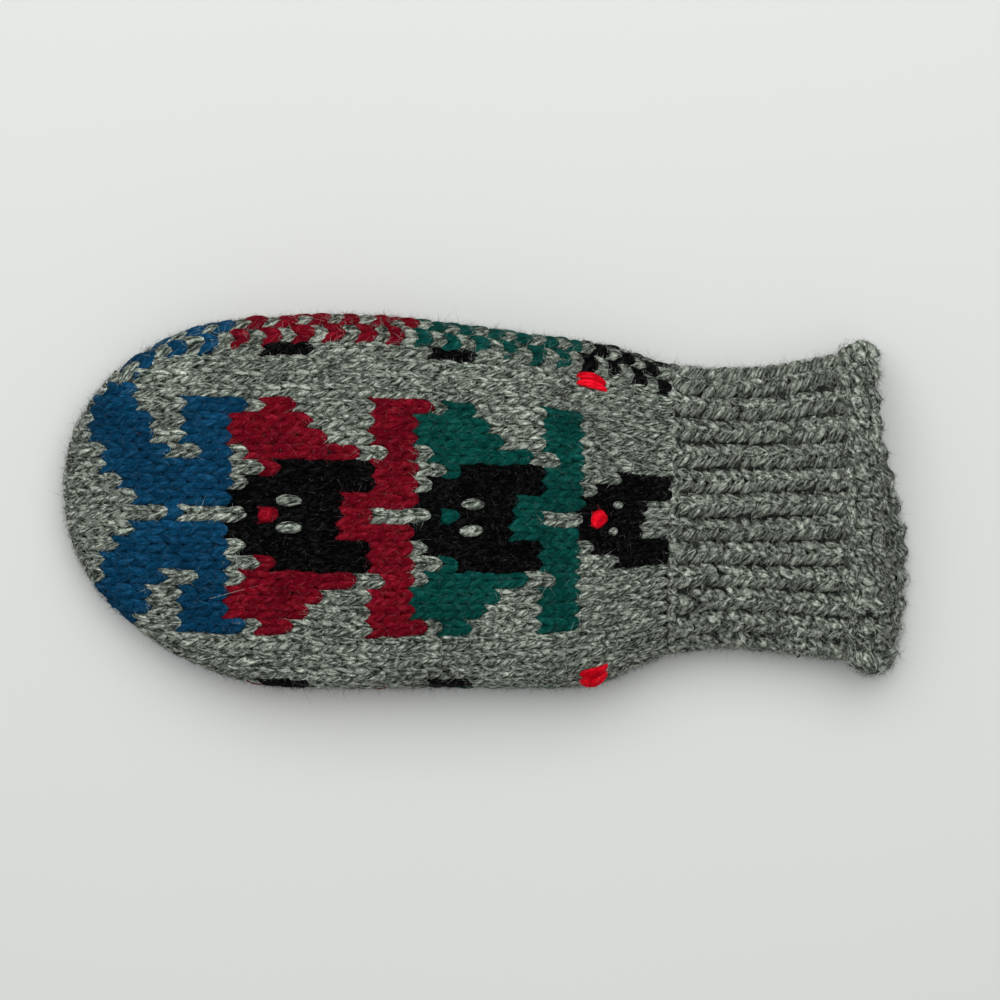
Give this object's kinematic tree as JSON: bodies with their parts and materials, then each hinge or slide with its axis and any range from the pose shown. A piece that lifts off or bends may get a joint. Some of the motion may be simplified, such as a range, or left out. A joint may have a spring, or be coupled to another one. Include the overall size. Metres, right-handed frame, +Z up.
{
  "type": "knitted mitten",
  "caption": "Hand-knitted wool mitten lying palm down, with patterned back, ribbed cuff and rolled edge, and its thumb folded flat under the palm.",
  "frame": {"origin": "on the table, under the middle of the mitten's outline", "axes": "+X from the fingertips to the cuff, +Y to the edge away from the thumb, +Z up, from the palm to the back of the hand"},
  "size_m": [0.2644, 0.1164, 0.0311],
  "materials": {
    "patterned_knit": "grey marl wool with coloured stranded knitting",
    "ribbed_knit": "grey marl wool, one by one rib",
    "rolled_knit": "grey marl wool, reverse side out",
    "thumb_knit": "plain grey marl wool"
  },
  "bodies": {
    "root": {"hand": "patterned_knit", "ribbed_cuff": "ribbed_knit", "rolled_edge": "rolled_knit", "thumb": "thumb_knit"}
  },
  "joints": []
}
